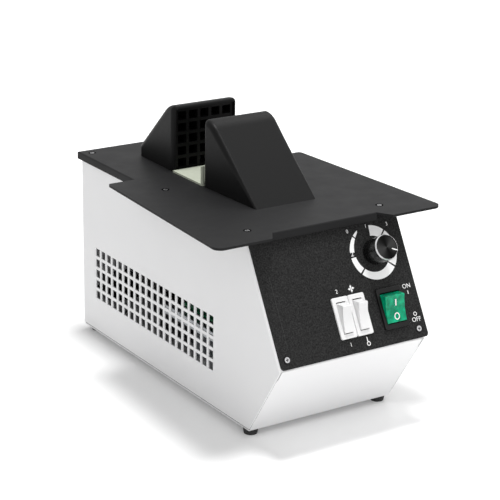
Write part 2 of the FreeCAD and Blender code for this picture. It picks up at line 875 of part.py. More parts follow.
def switch_body(x, up, rocker_width, bezel_width, bezel_length, bezel_height):
    body_half = switch_body_half(rocker_width)
    half_length = bezel_length / 2 - switch_bezel_lap
    bezel = box(-bezel_width / 2, -bezel_length / 2, 0, bezel_width / 2, bezel_length / 2, bezel_height)
    upright = edges_where(bezel, lambda e: is_along(e, Vector(0, 0, 1)))
    bezel = bezel.makeFillet(bezel_corner, upright)
    bezel = bezel.makeFillet(bezel_edge, edges_where(bezel, lambda e: e.BoundBox.ZMin > bezel_height - 0.01))
    body = box(-body_half, -half_length, -switch_depth, body_half, half_length, bezel_height / 2)
    half = rocker_width / 2 + slip_gap
    cavity = box(-half, -switch_cavity_half, -switch_depth + switch_wall,
                 half, switch_cavity_half, bezel_height + 1)
    pin = pin_half(rocker_width) + run_gap
    pin_bore = rod((-pin, 0, -rocker_pivot_depth), (1, 0, 0), rocker_pin_radius + run_gap, 2 * pin)
    shape = cut(fuse([bezel, body]), [cavity, pin_bore])
    shape.translate(Vector(x, up, 0))
    return on_panel(shape)


def power_switch():
    return switch_body(power_x, power_up, power_rocker_width, power_bezel_width, power_bezel_length,
                       power_bezel_height)


def pair_switch(x):
    return switch_body(x, pair_up, pair_rocker_width, pair_bezel_width, pair_bezel_length, pair_bezel_height)


def pin_half(rocker_width):
    return rocker_width / 2 + slip_gap + rocker_pin_reach


def rocker(x, up, width, rise):
    half = width / 2
    path = [(rocker_tip_half, rise), (rocker_base_half, -rocker_base_drop), (rocker_root_half, -rocker_root_drop)]
    path += [(-y, z) for y, z in reversed(path)]
    corners = [Vector(-half, y, z) for y, z in path]
    hollow = Part.Arc(corners[-1], Vector(-half, 0, rise - rocker_sag), corners[0]).toShape()
    profile = Part.Wire([hollow] + Part.makePolygon(corners).Edges)
    body = Part.Face(profile).extrude(Vector(width, 0, 0))
    tips = edges_where(body, lambda e: is_along(e, Vector(1, 0, 0)) and abs(e.Vertexes[0].Z - rise) < 0.01)
    body = body.makeFillet(0.8, tips)
    pin = rod((-pin_half(width), 0, 0), (1, 0, 0), rocker_pin_radius, 2 * pin_half(width))
    shape = fuse([body, pin])
    shape.rotate(Vector(0, 0, 0), Vector(1, 0, 0), rocker_tilt)
    shape.translate(Vector(x, up, -rocker_pivot_depth))
    return on_panel(shape)


def switch_tags():
    places = [(power_x + side * tag_width, power_up) for side in (-1, 1)]
    places += [(x, pair_up) for x in pair_places()]
    tags = []
    for x, up in places:
        for shift in (-tag_pitch, 0, tag_pitch):
            tag = box(x - tag_sheet / 2, up + shift - tag_width / 2, -switch_depth - tag_length,
                      x + tag_sheet / 2, up + shift + tag_width / 2, -switch_depth)
            tags.append(on_panel(tag))
    return group(tags)


# Blower

def scroll_center():
    return from_back(scroll_center_back), scroll_center_height


def scroll_outline(inset):
    y, z = scroll_center()
    rear = from_back(duct_rear_back) - duct_sheet - slip_gap - inset
    cutoff = from_back(neck_front_back) + duct_sheet + slip_gap + inset
    top = neck_bottom + neck_overlap
    radii = [scroll_top_radius, scroll_front_radius, scroll_low_radius, rear - y + inset]

    def at(angle, radius):
        turn = math.radians(angle)
        return Vector(0, y + (radius - inset) * math.cos(turn), z + (radius - inset) * math.sin(turn))

    spine = []
    for quarter in range(3):
        start = 90 + 90 * quarter
        middle = (radii[quarter] + radii[quarter + 1]) / 2
        spine.append(Part.Arc(at(start, radii[quarter]), at(start + 45, middle),
                              at(start + 90, radii[quarter + 1])).toShape())
    first = at(90, radii[0])
    last = at(360, radii[3])
    corners = [last, Vector(0, rear, top + inset), Vector(0, cutoff, top + inset), Vector(0, cutoff, first.z), first]
    sides = [Part.makeLine(corners[k], corners[k + 1]) for k in range(4)]
    return Part.Wire(Part.__sortEdges__(spine + sides))


def blower_housing():
    half = duct_half - slip_gap
    outer = Part.Face(scroll_outline(0)).extrude(Vector(2 * half, 0, 0)).translated(Vector(-half, 0, 0))
    inner_half_width = half - scroll_wall
    inner = Part.Face(scroll_outline(scroll_wall)).extrude(Vector(2 * inner_half_width, 0, 0))
    inner.translate(Vector(-inner_half_width, 0, 0))
    y, z = scroll_center()
    eye = rod((-half - 1, y, z), (1, 0, 0), scroll_inlet_radius, scroll_wall + 2)
    motor_hole = rod((half - scroll_wall - 1, y, z), (1, 0, 0), motor_bush_radius + 3, scroll_wall + 3)
    foot_half = scroll_foot_width / 2
    feet = [box(-half, y + dy - foot_half, pan_top, half, y + dy + foot_half, z - scroll_low_radius + foot_half)
            for dy in (-scroll_foot_spread, scroll_foot_spread)]
    feet = [block.cut(outer) for block in feet]
    return cut(fuse([outer] + feet), [inner, eye, motor_hole])


def wheel_half():
    return duct_half - slip_gap - scroll_wall - wheel_side_gap


def fan_wheel():
    y, z = scroll_center()
    half = wheel_half()
    blade_low = z + wheel_radius - wheel_blade_depth
    disc = rod((half - wheel_sheet, y, z), (1, 0, 0), wheel_radius, wheel_sheet)
    ring = rod((-half, y, z), (1, 0, 0), wheel_radius, wheel_sheet)
    ring = ring.cut(rod((-half - 1, y, z), (1, 0, 0), wheel_radius - wheel_blade_depth, wheel_sheet + 2))
    hub = rod((half - wheel_hub_length, y, z), (1, 0, 0), wheel_hub_radius, wheel_hub_length)
    blades = []
    for index in range(wheel_blades):
        blade = box(-half + 0.5, y - wheel_blade_sheet / 2, blade_low + 0.6,
                    half - 0.5, y + wheel_blade_sheet / 2, blade_low + wheel_blade_depth - 0.6)
        blade.rotate(Vector(0, y, z), Vector(1, 0, 0), 360 / wheel_blades * index)
        blades.append(blade)
    bore = rod((-half, y, z), (1, 0, 0), motor_shaft_radius, 2 * half + 1)
    return cut(fuse([disc, ring, hub] + blades), [bore])


def motor_start():
    return duct_half - slip_gap


def motor_case():
    y, z = scroll_center()
    start = motor_start()
    can = rod((start, y, z), (1, 0, 0), motor_radius, motor_length)
    room = rod((start + motor_wall, y, z), (1, 0, 0), motor_radius - motor_wall, motor_length - 2 * motor_wall)
    bush_holes = rod((start - 1, y, z), (1, 0, 0), motor_bush_radius, motor_length + 2)
    return cut(can, [room, bush_holes])


def motor_bushes():
    y, z = scroll_center()
    start = motor_start()
    bushes = []
    for x in (start, start + motor_length - motor_bush_length):
        bush = rod((x, y, z), (1, 0, 0), motor_bush_radius, motor_bush_length)
        bushes.append(bush.cut(rod((x - 1, y, z), (1, 0, 0), motor_shaft_radius + run_gap,
                                   motor_bush_length + 2)))
    return group(bushes)


def motor_stator():
    y, z = scroll_center()
    start = motor_start() + motor_core_inset
    length = motor_length - 2 * motor_core_inset
    ring = rod((start, y, z), (1, 0, 0), motor_radius - motor_wall, length)
    return ring.cut(rod((start - 1, y, z), (1, 0, 0), rotor_radius + rotor_air_gap, length + 2))


def motor_rotor():
    y, z = scroll_center()
    start = motor_start() + motor_core_inset
    core = rod((start, y, z), (1, 0, 0), rotor_radius, motor_length - 2 * motor_core_inset)
    return core.cut(rod((start - 1, y, z), (1, 0, 0), motor_shaft_radius, motor_length))


def motor_shaft():
    y, z = scroll_center()
    start = wheel_half() - wheel_hub_length + 1
    end = motor_start() + motor_length + 1
    return rod((start, y, z), (1, 0, 0), motor_shaft_radius, end - start)


def bracket_screw_places():
    y = scroll_center()[0]
    x = motor_start() + motor_length - bracket_screw_inset
    return [(x, y - bracket_screw_spread), (x, y + bracket_screw_spread)]


def motor_bracket():
    y, z = scroll_center()
    x = motor_start() + motor_length
    plate = box(x, y - bracket_half, pan_top, x + bracket_sheet, y + bracket_half, z + bracket_half)
    foot_plate = box(x - bracket_foot, y - bracket_half, pan_top, x + bracket_sheet, y + bracket_half,
                     pan_top + bracket_sheet)
    shaft_hole = rod((x - 1, y, z), (1, 0, 0), motor_bush_radius + 2, bracket_sheet + 2)
    holes = [rod((sx, sy, 0), (0, 0, 1), screw_radius + fit_gap, 20) for sx, sy in bracket_screw_places()]
    holes += [rod((x - 1, y + dy, z + dz), (1, 0, 0), screw_radius + fit_gap, bracket_sheet + 2)
              for dy, dz in motor_screw_offsets()]
    return cut(fuse([plate, foot_plate]), [shaft_hole] + holes)


def motor_screw_offsets():
    return [(motor_screw_spread, motor_screw_spread), (-motor_screw_spread, -motor_screw_spread)]


def motor_screws():
    y, z = scroll_center()
    x = motor_start() + motor_length
    screws = [screw((x, y + dy, z + dz), (1, 0, 0), bracket_sheet) for dy, dz in motor_screw_offsets()]
    seat = pan_top + bracket_sheet
    screws += [screw((sx, sy, seat - screw_grip), (0, 0, 1), screw_grip) for sx, sy in bracket_screw_places()]
    return group(screws)


# Air duct and heater

def duct_volume(grow, top):
    front = from_back(duct_front_back) + duct_sheet - grow
    neck_front = from_back(neck_front_back) + duct_sheet - grow
    rear = from_back(duct_rear_back) - duct_sheet + grow
    wide = duct_half + grow
    neck_low = neck_bottom if grow else neck_bottom - 1
    run = box(-wide, front, duct_low + duct_sheet - grow, wide, rear, top)
    neck = box(-wide, neck_front, neck_low, wide, rear, top)
    return fuse([run, neck])


def duct_top_sheet(top):
    half = duct_half + duct_sheet + duct_flange
    return box(-half, from_back(duct_front_back), top - duct_sheet, half, from_back(duct_rear_back), top)


def duct_screw_holes():
    return [rod((x, y, plate_under - 4), (0, 0, 1), screw_radius + fit_gap, 8) for x, y in boss_places()]


def air_duct():
    top = plate_under - duct_sheet
    shape = fuse([duct_volume(duct_sheet, top), duct_top_sheet(top)])
    return cut(shape, [duct_volume(0, top + 1)] + duct_screw_holes())


def duct_cover():
    windows = [air_window(*window) for window in air_windows()]
    return cut(duct_top_sheet(plate_under), windows + duct_screw_holes())


def heater_frame():
    low = duct_low - heater_height
    front = from_back(neck_front_back) + duct_sheet + fit_gap
    rear = from_back(duct_rear_back) - duct_sheet - fit_gap
    half = duct_half - fit_gap
    outer = box(-half, front, low, half, rear, duct_low)
    inner = box(-half + heater_sheet, front + heater_sheet, low - 1,
                half - heater_sheet, rear - heater_sheet, duct_low + 1)
    return cut(outer, [inner] + [rod((-half - 1, y, z), (1, 0, 0), heater_bar_radius, 2 * half + 2)
                                 for y, z in heater_bar_places()])


def heater_bar_places():
    middle = duct_low - heater_height / 2
    front = from_back(neck_front_back) + heater_bar_inset
    rear = from_back(duct_rear_back) - heater_bar_inset
    pitch = (rear - front) / (heater_bars - 1)
    return [(front + pitch * k, middle + (heater_bar_stagger if k % 2 else -heater_bar_stagger))
            for k in range(heater_bars)]


def heater_bars_group():
    half = duct_half - fit_gap
    return group([rod((-half, y, z), (1, 0, 0), heater_bar_radius, 2 * half) for y, z in heater_bar_places()])


def thermal_cutout():
    x = -duct_half - duct_sheet
    y = (from_back(neck_front_back) + from_back(duct_rear_back)) / 2
    z = neck_bottom + cutout_rise
    disc = rod((x, y, z), (-1, 0, 0), cutout_radius, cutout_height)
    tags = [box(x - cutout_height - 5, y + dy - 2, z - 0.4, x - cutout_height + 1, y + dy + 2, z + 0.4)
            for dy in (-5, 5)]
    return fuse([disc] + tags)


# Shelf and electronics

def component_shelf():
    front = from_back(shelf_front_back)
    rear = from_back(shelf_rear_back)
    top = shelf_height
    floor = box(-shelf_half, front, top - sheet, shelf_half, rear, top)
    lip = box(-shelf_half, front, top - sheet, -shelf_half + sheet, rear, top + shelf_lip)
    legs = [box(-shelf_leg_half, y, pan_top, shelf_leg_half, y + sheet, top) for y in (front, rear - sheet)]
    feet = [box(-shelf_leg_half, y, pan_top, shelf_leg_half, y + shelf_foot, pan_top + sheet)
            for y in (front, rear - shelf_foot)]
    return fuse([floor, lip, mirrored(lip)] + legs + feet)


def board_front():
    return from_back(shelf_front_back) + circuit_board_inset


def board_top():
    return shelf_height + standoff_height + circuit_board_sheet


def circuit_board():
    front = board_front()
    rear = front + circuit_board_length
    low = shelf_height + standoff_height
    board = box(circuit_board_left, front, low, circuit_board_right, rear, board_top())
    posts = [rod((x, y, shelf_height), (0, 0, 1), standoff_radius, standoff_height)
             for x in (circuit_board_left + standoff_inset, circuit_board_right - standoff_inset)
             for y in (front + standoff_inset, rear - standoff_inset)]
    return fuse([board] + posts)


def board_components():
    left = circuit_board_left + standoff_inset
    front = board_front() + 2 * standoff_inset
    low = board_top()
    relays = [box(left, front + relay_pitch * k, low, left + relay_width, front + relay_pitch * k + relay_length,
                  low + relay_height) for k in range(2)]
    capacitor_left = left + relay_width + 2 * standoff_inset
    capacitor = box(capacitor_left, front, low, capacitor_left + capacitor_width, front + capacitor_length,
                    low + capacitor_height)
    choke_x = capacitor_left + capacitor_width / 2
    choke_y = front + 2 * relay_pitch
    choke = rod((choke_x, choke_y, low), (0, 0, 1), choke_radius, choke_height)
    choke = choke.cut(rod((choke_x, choke_y, low - 1), (0, 0, 1), choke_bore, choke_height + 2))
    return group(relays + [capacitor, choke])


def heat_sink():
    left = circuit_board_left + standoff_inset
    front = board_front() + 3 * relay_pitch
    low = board_top()
    fin_front = front + sink_base
    pitch = (sink_width - sink_fin_sheet) / (sink_fins - 1)
    base = box(left, front, low, left + sink_width, fin_front, low + sink_height)
    fins = [box(left + pitch * k, fin_front, low, left + pitch * k + sink_fin_sheet, fin_front + sink_fin_depth,
                low + sink_height) for k in range(sink_fins)]
    return fuse([base] + fins)


def terminal_places():
    front = from_back(shelf_front_back) + terminal_inset
    return [front + terminal_pitch * (k + 0.5) for k in range(terminal_count)]


def terminal_block():
    front = from_back(shelf_front_back) + terminal_inset
    half = terminal_width / 2
    top = shelf_height + terminal_height
    body = box(terminal_x - half, front, shelf_height, terminal_x + half, front + terminal_pitch * terminal_count,
               top)
    wells = [rod((terminal_x, y, top - terminal_well_depth), (0, 0, 1), terminal_well_radius, terminal_height)
             for y in terminal_places()]
    return cut(body, wells)


def terminal_screws():
    low = shelf_height + terminal_height - terminal_well_depth
    return group([rod((terminal_x, y, low), (0, 0, 1), terminal_screw_radius, terminal_screw_height)
                  for y in terminal_places()])


# Power inlet

def power_inlet():
    half_w = inlet_body_width / 2
    half_h = inlet_body_height / 2
    flange = box(inlet_x - inlet_flange_width / 2, back_y, inlet_height - inlet_flange_height / 2,
                 inlet_x + inlet_flange_width / 2, back_y + inlet_flange_depth,
                 inlet_height + inlet_flange_height / 2)
    body = box(inlet_x - half_w, back_y - inlet_body_depth, inlet_height - half_h,
               inlet_x + half_w, back_y + 1, inlet_height + half_h)
    mouth = box(inlet_x - half_w + inlet_wall, back_y + inlet_flange_depth - inlet_recess,
                inlet_height - half_h + inlet_wall, inlet_x + half_w - inlet_wall, back_y + 5,
                inlet_height + half_h - inlet_wall)
    corners = edges_where(mouth, lambda e: is_along(e, Vector(0, 1, 0)) and e.Vertexes[0].Z > inlet_height)
    mouth = mouth.makeChamfer(inlet_chamfer, corners)
    screws = [rod((inlet_x + side * inlet_screw_spacing / 2, back_y - 1, inlet_height), (0, 1, 0),
                  screw_radius + fit_gap, 6) for side in (-1, 1)]
    heads = [rod((inlet_x + side * inlet_screw_spacing / 2, inlet_head_seat, inlet_height), (0, 1, 0),
                 screw_head_radius + screw_gap, 5) for side in (-1, 1)]
    return cut(fuse([flange, body]), [mouth] + screws + heads + inlet_pin_shapes())


def inlet_pin_shapes():
    rear = back_y - inlet_body_depth - inlet_pin_tail
    tip = back_y + inlet_flange_depth - inlet_pin_recess
    pins = []
    for dx, dz in inlet_pin_places:
        x = inlet_x + dx
        z = inlet_height + dz
        pins.append(box(x - inlet_pin_half_width, rear, z - inlet_pin_half_height,
                        x + inlet_pin_half_width, tip, z + inlet_pin_half_height))
    return pins


def inlet_pins():
    return group(inlet_pin_shapes())


def inlet_screws():
    screws = []
    for side in (-1, 1):
        tip = (inlet_x + side * inlet_screw_spacing / 2, back_y - screw_grip, inlet_height)
        length = inlet_head_seat - back_y + screw_grip
        screws.append(screw(tip, (0, 1, 0), length))
    return group(screws)


def pan_screws():
    return group([screw((x, back_y - screw_grip, pan_screw_height), (0, 1, 0), screw_grip) for x in pan_screw_xs])


nodes = {
    "housing_shell": housing_shell(),
    "base_pan": base_pan(),
    "top_plate": top_plate(),
    "control_panel": control_panel(),
    "front_hood": facing_rear(hood_shell(front_hood_length, 0), front_hood_back),
    "rear_hood": facing_front(hood_shell(rear_hood_length, rear_hood_step), rear_hood_back),
    "front_grille": facing_rear(grille(front_hood_length, 0), front_hood_back),
    "rear_grille": facing_front(grille(rear_hood_length, rear_hood_step), rear_hood_back),
    "heat_board": heat_board(),
    "knob": knob(),
    "knob_cap": knob_cap(),
    "knob_grub_screw": grub_screw(),
    "potentiometer_body": potentiometer_body(),
    "potentiometer_shaft": potentiometer_shaft(),
    "potentiometer_nut": potentiometer_nut(),
    "power_switch_body": power_switch(),
    "fan_switch_body": pair_switch(pair_places()[0]),
    "heat_switch_body": pair_switch(pair_places()[1]),
    "power_rocker": rocker(power_x, power_up, power_rocker_width, power_rocker_rise),
    "fan_rocker": rocker(pair_places()[0], pair_up, pair_rocker_width, pair_rocker_rise),
    "heat_rocker": rocker(pair_places()[1], pair_up, pair_rocker_width, pair_rocker_rise),
    "switch_tags": switch_tags(),
    "blower_housing": blower_housing(),
    "fan_wheel": fan_wheel(),
    "motor_case": motor_case(),
    "motor_bushes": motor_bushes(),
    "motor_stator": motor_stator(),
    "motor_rotor": motor_rotor(),
    "motor_shaft": motor_shaft(),
    "motor_bracket": motor_bracket(),
    "motor_screws": motor_screws(),
    "air_duct": air_duct(),
    "duct_cover": duct_cover(),
    "heater_frame": heater_frame(),
    "heater_bars": heater_bars_group(),
    "thermal_cutout": thermal_cutout(),
    "component_shelf": component_shelf(),
    "circuit_board": circuit_board(),
    "board_components": board_components(),
    "heat_sink": heat_sink(),
    "terminal_block": terminal_block(),
    "terminal_screws": terminal_screws(),
    "power_inlet": power_inlet(),
    "inlet_pins": inlet_pins(),
    "inlet_screws": inlet_screws(),
    "pan_screws": pan_screws(),
    "plate_screws": plate_screws(),
    "panel_screws": panel_screws(),
    "hood_screws": hood_screws(),
    "foot_screws": foot_screws(),
}
foot_names = ("foot_front_left", "foot_front_right", "foot_rear_left", "foot_rear_right")
for foot_name, place in zip(foot_names, foot_places()):
    nodes[foot_name] = foot(*place)

for name, shape in nodes.items():
    print(name, len(shape.Solids), round(shape.Volume, 1), shape.isValid())
    shape.exportStep("parts/" + name + ".step")
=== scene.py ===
import json
import math

import bmesh
import bpy
from mathutils import Matrix, Vector


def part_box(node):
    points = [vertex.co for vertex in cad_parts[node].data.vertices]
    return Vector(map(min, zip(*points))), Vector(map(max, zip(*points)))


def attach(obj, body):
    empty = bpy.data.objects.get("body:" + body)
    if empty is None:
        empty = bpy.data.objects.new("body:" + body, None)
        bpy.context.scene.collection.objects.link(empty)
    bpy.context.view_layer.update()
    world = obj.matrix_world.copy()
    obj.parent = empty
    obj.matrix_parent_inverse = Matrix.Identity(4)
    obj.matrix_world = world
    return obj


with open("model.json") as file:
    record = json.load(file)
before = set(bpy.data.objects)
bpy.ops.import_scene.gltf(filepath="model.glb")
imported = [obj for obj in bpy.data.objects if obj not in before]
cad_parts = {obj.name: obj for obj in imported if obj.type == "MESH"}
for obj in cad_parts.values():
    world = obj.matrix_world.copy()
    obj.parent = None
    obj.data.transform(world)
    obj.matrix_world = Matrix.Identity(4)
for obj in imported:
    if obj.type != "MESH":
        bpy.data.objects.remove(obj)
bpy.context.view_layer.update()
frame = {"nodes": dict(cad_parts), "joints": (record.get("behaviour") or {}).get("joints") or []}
nodes = frame["nodes"]
joints = {joint["name"]: joint for joint in frame["joints"]}
mm = 0.001

# The control panel's own axes, worked out from the knob's joint
knob_x = 42.0
knob_up = 75.2
knob_place = Vector(joints["knob_turn"]["pos_m"])
panel_out = Vector(joints["knob_turn"]["axis"])
panel_right = Vector((1, 0, 0))
panel_up = panel_out.cross(panel_right)
panel_corner = knob_place - panel_right * knob_x * mm - panel_up * knob_up * mm

# The top plate's own axis and upper face
plate_out = Vector((0, 0, 1))
plate_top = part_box("top_plate")[1][2]


def on_panel(x, up, out=0.0):
    return panel_corner + (panel_right * x + panel_up * up + panel_out * out) * mm


def on_plate(x, y, out):
    return Vector((x * mm, y * mm, plate_top + out * mm))


# Shader nodes of a material or of the world

def add_node(owner, kind, **settings):
    node = owner.node_tree.nodes.new(kind)
    for key, value in settings.items():
        setattr(node, key, value)
    return node


def link(owner, source, target):
    owner.node_tree.links.new(source, target)


def main_shader(material):
    return material.node_tree.nodes["Principled BSDF"]


def object_coordinates(material):
    return add_node(material, "ShaderNodeTexCoord").outputs["Object"]


def calculate(owner, operation, *values):
    node = add_node(owner, "ShaderNodeMath", operation=operation)
    for socket, value in zip(node.inputs, values):
        if isinstance(value, bpy.types.NodeSocket):
            link(owner, value, socket)
        else:
            socket.default_value = value
    return node.outputs[0]


def calculate_vector(owner, operation, value, fixed=None):
    node = add_node(owner, "ShaderNodeVectorMath", operation=operation)
    link(owner, value, node.inputs[0])
    if fixed is not None:
        node.inputs[1].default_value = fixed
    return node.outputs["Value" if operation in ("DOT_PRODUCT", "LENGTH") else "Vector"]


def noise(material, scale, detail=2.0, roughness=0.5):
    node = add_node(material, "ShaderNodeTexNoise")
    node.inputs["Scale"].default_value = scale
    node.inputs["Detail"].default_value = detail
    node.inputs["Roughness"].default_value = roughness
    link(material, object_coordinates(material), node.inputs["Vector"])
    return node.outputs["Fac"]


def remap(material, value, low_in, high_in, low_out=0.0, high_out=1.0):
    node = add_node(material, "ShaderNodeMapRange")
    node.inputs["From Min"].default_value = low_in
    node.inputs["From Max"].default_value = high_in
    node.inputs["To Min"].default_value = low_out
    node.inputs["To Max"].default_value = high_out
    link(material, value, node.inputs["Value"])
    return node.outputs["Result"]


# What the materials share; most of a noise lies between the two values
noise_low = 0.3
noise_high = 0.7


def new_material(name, color, roughness, metallic=0.0, specular=0.5):
    material = bpy.data.materials.new(name)
    material.use_nodes = True
    shader = main_shader(material)
    shader.inputs["Base Color"].default_value = (*color, 1)
    shader.inputs["Roughness"].default_value = roughness
    shader.inputs["Metallic"].default_value = metallic
    shader.inputs["Specular IOR Level"].default_value = specular
    return material


def vary_roughness(material, scale, low, high):
    grain = noise(material, scale, detail=3.0)
    value = remap(material, grain, noise_low, noise_high, low, high)
    link(material, value, main_shader(material).inputs["Roughness"])


def vary_color(material, value, dark, light):
    mix = add_node(material, "ShaderNodeMix", data_type="RGBA")
    mix.inputs["A"].default_value = (*dark, 1)
    mix.inputs["B"].default_value = (*light, 1)
    link(material, value, mix.inputs["Factor"])
    link(material, mix.outputs["Result"], main_shader(material).inputs["Base Color"])


def blend_color(material, value, color):
    socket = main_shader(material).inputs["Base Color"]
    before = socket.links[0].from_socket
    mix = add_node(material, "ShaderNodeMix", data_type="RGBA")
    mix.inputs["B"].default_value = (*color, 1)
    link(material, before, mix.inputs["A"])
    link(material, value, mix.inputs["Factor"])
    link(material, mix.outputs["Result"], socket)


def add_bump(material, value, strength, distance):
    bump = add_node(material, "ShaderNodeBump")
    bump.inputs["Strength"].default_value = strength
    bump.inputs["Distance"].default_value = distance
    link(material, value, bump.inputs["Height"])
    link(material, bump.outputs["Normal"], main_shader(material).inputs["Normal"])


def metal(name, color, roughness, scale=300.0):
    material = new_material(name, color, roughness, metallic=1.0)
    vary_roughness(material, scale, low=roughness * 0.8, high=roughness * 1.25)
    return material


def gloss_plastic(name, color, roughness, specular=0.5):
    material = new_material(name, color, roughness, specular=specular)
    vary_roughness(material, 90.0, low=roughness * 0.85, high=roughness * 1.2)
    add_bump(material, noise(material, 60.0), strength=0.03, distance=0.5 * mm)
    return material


# Sheet metal: white paint, with a painted shadow line on the pan's lip in the gap under the housing's
# lower edge
gap_shadow_height = 1.5
gap_shadow_color = (0.06, 0.06, 0.06)
lip_depth = 0.05


def white_paint(name):
    material = new_material(name, (0.80, 0.80, 0.805), roughness=0.42)
    vary_color(material, noise(material, 6.0), (0.785, 0.785, 0.79), (0.815, 0.815, 0.82))
    vary_roughness(material, 40.0, low=0.38, high=0.5)
    add_bump(material, noise(material, 900.0), strength=0.06, distance=0.4 * mm)
    return material


def pan_paint():
    material = white_paint("white_pan_coat_painted_shadow")
    separate = add_node(material, "ShaderNodeSeparateXYZ")
    link(material, object_coordinates(material), separate.inputs[0])
    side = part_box("base_pan")[1][0] - lip_depth * mm
    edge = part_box("housing_shell")[0][2] - gap_shadow_height * mm
    across = calculate(material, "ABSOLUTE", separate.outputs["X"])
    outer = calculate(material, "GREATER_THAN", across, side)
    above = calculate(material, "GREATER_THAN", separate.outputs["Z"], edge)
    # The pan's lip just under the housing's edge is darkened: painted shadow of the gap
    blend_color(material, calculate(material, "MULTIPLY", outer, above), gap_shadow_color)
    return material


def satin_black_paint():
    material = new_material("satin_black_paint", (0.0135, 0.0135, 0.0135), roughness=0.53, specular=0.1)
    grain = noise(material, 25.0, detail=4.0)
    vary_color(material, grain, (0.012, 0.012, 0.0125), (0.015, 0.015, 0.0155))
    vary_roughness(material, 60.0, low=0.5, high=0.56)
    add_bump(material, noise(material, 1400.0), strength=0.08, distance=0.3 * mm)
    return material


def textured_black_paint():
    material = new_material("textured_black_paint", (0.018, 0.018, 0.018), roughness=0.7, specular=0.1)
    grain = noise(material, 900.0, detail=3.0, roughness=0.7)
    speckle = remap(material, grain, low_in=0.38, high_in=0.66)
    vary_color(material, speckle, (0.007, 0.007, 0.007), (0.034, 0.034, 0.034))
    add_bump(material, grain, strength=0.5, distance=0.6 * mm)
    return material


# Moulded parts, the board and rubber

def black_moulding():
    material = new_material("black_moulding", (0.003, 0.003, 0.0031), roughness=0.4, specular=0.11)
    vary_roughness(material, 300.0, low=0.38, high=0.43)
    add_bump(material, noise(material, 1500.0, detail=3.0), strength=0.05, distance=0.3 * mm)
    return material


def pale_board():
    material = new_material("pale_board", (0.47, 0.5, 0.41), roughness=0.8, specular=0.2)
    fibres = noise(material, 220.0, detail=5.0)
    vary_color(material, fibres, (0.43, 0.46, 0.37), (0.51, 0.54, 0.45))
    add_bump(material, noise(material, 700.0, detail=4.0), strength=0.15, distance=0.3 * mm)
    return material


def knob_plastic():
    material = new_material("knob_plastic", (0.004, 0.004, 0.004), roughness=0.25, specular=0.25)
    vary_roughness(material, 200.0, low=0.2, high=0.3)
    return material


def rubber():
    material = new_material("black_rubber", (0.012, 0.012, 0.012), roughness=0.8)
    add_bump(material, noise(material, 900.0, detail=4.0), strength=0.2, distance=0.3 * mm)
    return material


def green_lens():
    material = new_material("green_lens", (0.0, 0.34, 0.17), roughness=0.18, specular=0.2)
    cloud = remap(material, noise(material, 220.0, detail=3.0), low_in=0.35, high_in=0.66)
    vary_color(material, cloud, (0.0, 0.2, 0.1), (0.0, 0.42, 0.21))
    shader = main_shader(material)
    shader.inputs["Coat Weight"].default_value = 0.12
    shader.inputs["Coat Roughness"].default_value = 0.08
    shader.inputs["Subsurface Weight"].default_value = 0.4
    shader.inputs["Subsurface Radius"].default_value = (0.2, 1.0, 0.6)
    shader.inputs["Subsurface Scale"].default_value = 3 * mm
    return material


def printed_white():
    material = new_material("printed_white", (0.82, 0.82, 0.82), roughness=0.55)
    vary_color(material, noise(material, 900.0), (0.82, 0.82, 0.82), (0.9, 0.9, 0.9))
    return material


# Knob cap: spun metal with painted highlight sectors, light and dark, and a bright ring
knob_radius = 10.5
cap_ring = 0.6
cap_ring_blur = 0.1
cap_folds = 2
cap_phase = 60.0


def sheen_sine(material, offset):
    up = calculate_vector(material, "DOT_PRODUCT", offset, panel_up)
    right = calculate_vector(material, "DOT_PRODUCT", offset, panel_right)
    angle = calculate(material, "ARCTAN2", up, right)
    folded = calculate(material, "MULTIPLY_ADD", angle, cap_folds, math.radians(cap_phase))
    return calculate(material, "SINE", folded)


def spun_cap():
    material = new_material("spun_cap", (0.05, 0.05, 0.05), roughness=0.35, metallic=1.0)
    middle_point = on_panel(knob_x, knob_up)
    offset = calculate_vector(material, "SUBTRACT", object_coordinates(material), middle_point)
    tangent = calculate_vector(material, "CROSS_PRODUCT", offset, panel_out)
    radius = calculate_vector(material, "LENGTH", tangent)
    ring_start = (knob_radius - cap_ring) * mm
    edge = remap(material, radius, ring_start - cap_ring_blur * mm, ring_start)
    # Light and dark sectors by angle round the knob: painted highlight of the spun metal
    painted_sheen = remap(material, sheen_sine(material, offset), -1, 1)
    vary_color(material, painted_sheen, (0.006, 0.006, 0.006), (0.045, 0.045, 0.045))
    blend_color(material, edge, (0.85, 0.85, 0.86))
    link(material, tangent, main_shader(material).inputs["Tangent"])
    main_shader(material).inputs["Anisotropic"].default_value = 0.85
    return material


# Cross-recessed screws: steel, with painted shade inside the recess
recess_floor = -0.3
recess_edge = -0.15


def screw_steel(name, node_name, axis):
    material = new_material(name, (0.6, 0.6, 0.61), roughness=0.3, metallic=1.0)
    points = [vertex.co for vertex in nodes[node_name].data.vertices]
    highest = max(points, key=lambda point: point.dot(axis))
    offset = calculate_vector(material, "SUBTRACT", object_coordinates(material), highest)
    height = calculate_vector(material, "DOT_PRODUCT", offset, axis)
    # Below the head's top the steel turns dark: painted shade in the cross recess
    face = remap(material, height, recess_floor * mm, recess_edge * mm)
    vary_color(material, face, (0.02, 0.02, 0.02), (0.6, 0.6, 0.61))
    vary_roughness(material, 300.0, low=0.25, high=0.38)
    return material


# Materials of the CAD nodes
white = white_paint("white_powder_coat")
satin_black = satin_black_paint()
moulding = black_moulding()
plated = metal("plated_steel", (0.6, 0.6, 0.62), roughness=0.35)
bare = metal("bare_steel", (0.55, 0.55, 0.56), roughness=0.3)
dark_steel = metal("dark_steel", (0.32, 0.32, 0.33), roughness=0.3)
galvanised = metal("galvanised", (0.62, 0.64, 0.66), roughness=0.45, scale=120.0)
brass = metal("brass", (0.72, 0.55, 0.25), roughness=0.3)
iron = metal("lamination", (0.3, 0.3, 0.31), roughness=0.5)
rocker_white = gloss_plastic("rocker_white", (0.8, 0.8, 0.8), roughness=0.3)
black_gloss = gloss_plastic("switch_black", (0.006, 0.006, 0.006), roughness=0.3, specular=0.25)
foot_rubber = rubber()

